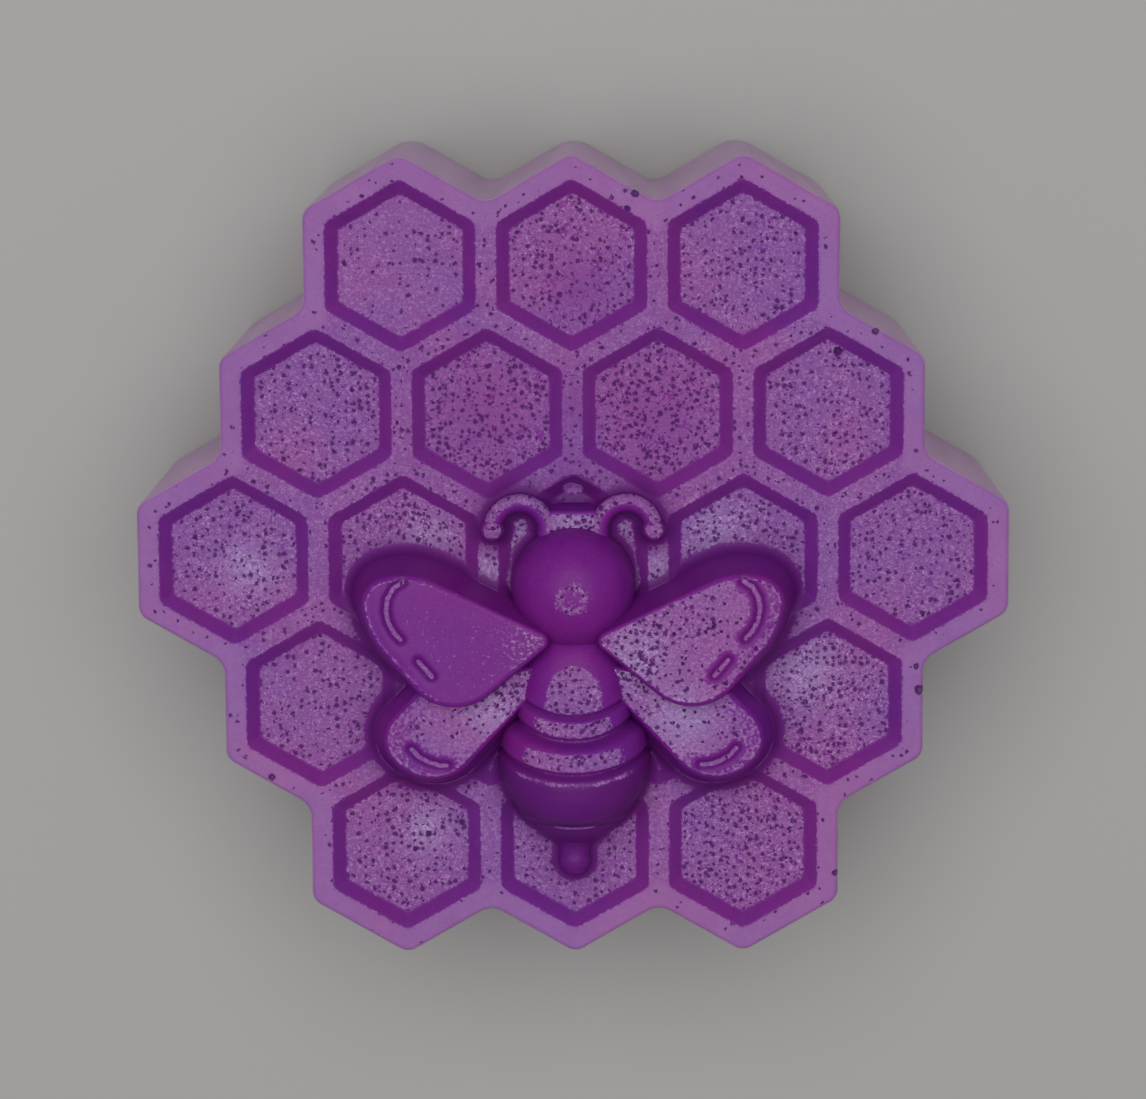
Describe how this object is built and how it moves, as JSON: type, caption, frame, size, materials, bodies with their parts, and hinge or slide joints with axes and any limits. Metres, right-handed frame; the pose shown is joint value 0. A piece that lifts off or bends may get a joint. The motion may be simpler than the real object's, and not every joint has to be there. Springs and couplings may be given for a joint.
{
  "type": "moulded soap bar",
  "caption": "Thick block of soap with a scalloped honeycomb outline, shallow hexagonal cells on its front and a bee in relief across them, on a flat back.",
  "frame": {"origin": "middle of the bar in plan, on its flat back", "axes": "+Z out of the back towards the relief, +Y towards the bee's head, +X towards the bee's right-hand wings as seen from the front"},
  "size_m": [0.08, 0.074, 0.032],
  "materials": {
    "soap_block": "smooth cast soap, pale violet",
    "soap_comb": "frosted cast soap with pinholes, violet",
    "soap_bee": "satin cast soap, deep violet"
  },
  "bodies": {
    "root": {"backing_slab": "soap_block", "comb_walls": "soap_comb", "bee_head": "soap_bee", "bee_thorax": "soap_bee", "abdomen_band_upper": "soap_bee", "abdomen_band_middle": "soap_bee", "abdomen_tail": "soap_bee", "stinger": "soap_bee", "forewing_right": "soap_bee", "forewing_left": "soap_bee", "hindwing_right": "soap_bee", "hindwing_left": "soap_bee", "antenna_right": "soap_bee", "antenna_left": "soap_bee", "antenna_bridge": "soap_bee"}
  },
  "joints": []
}
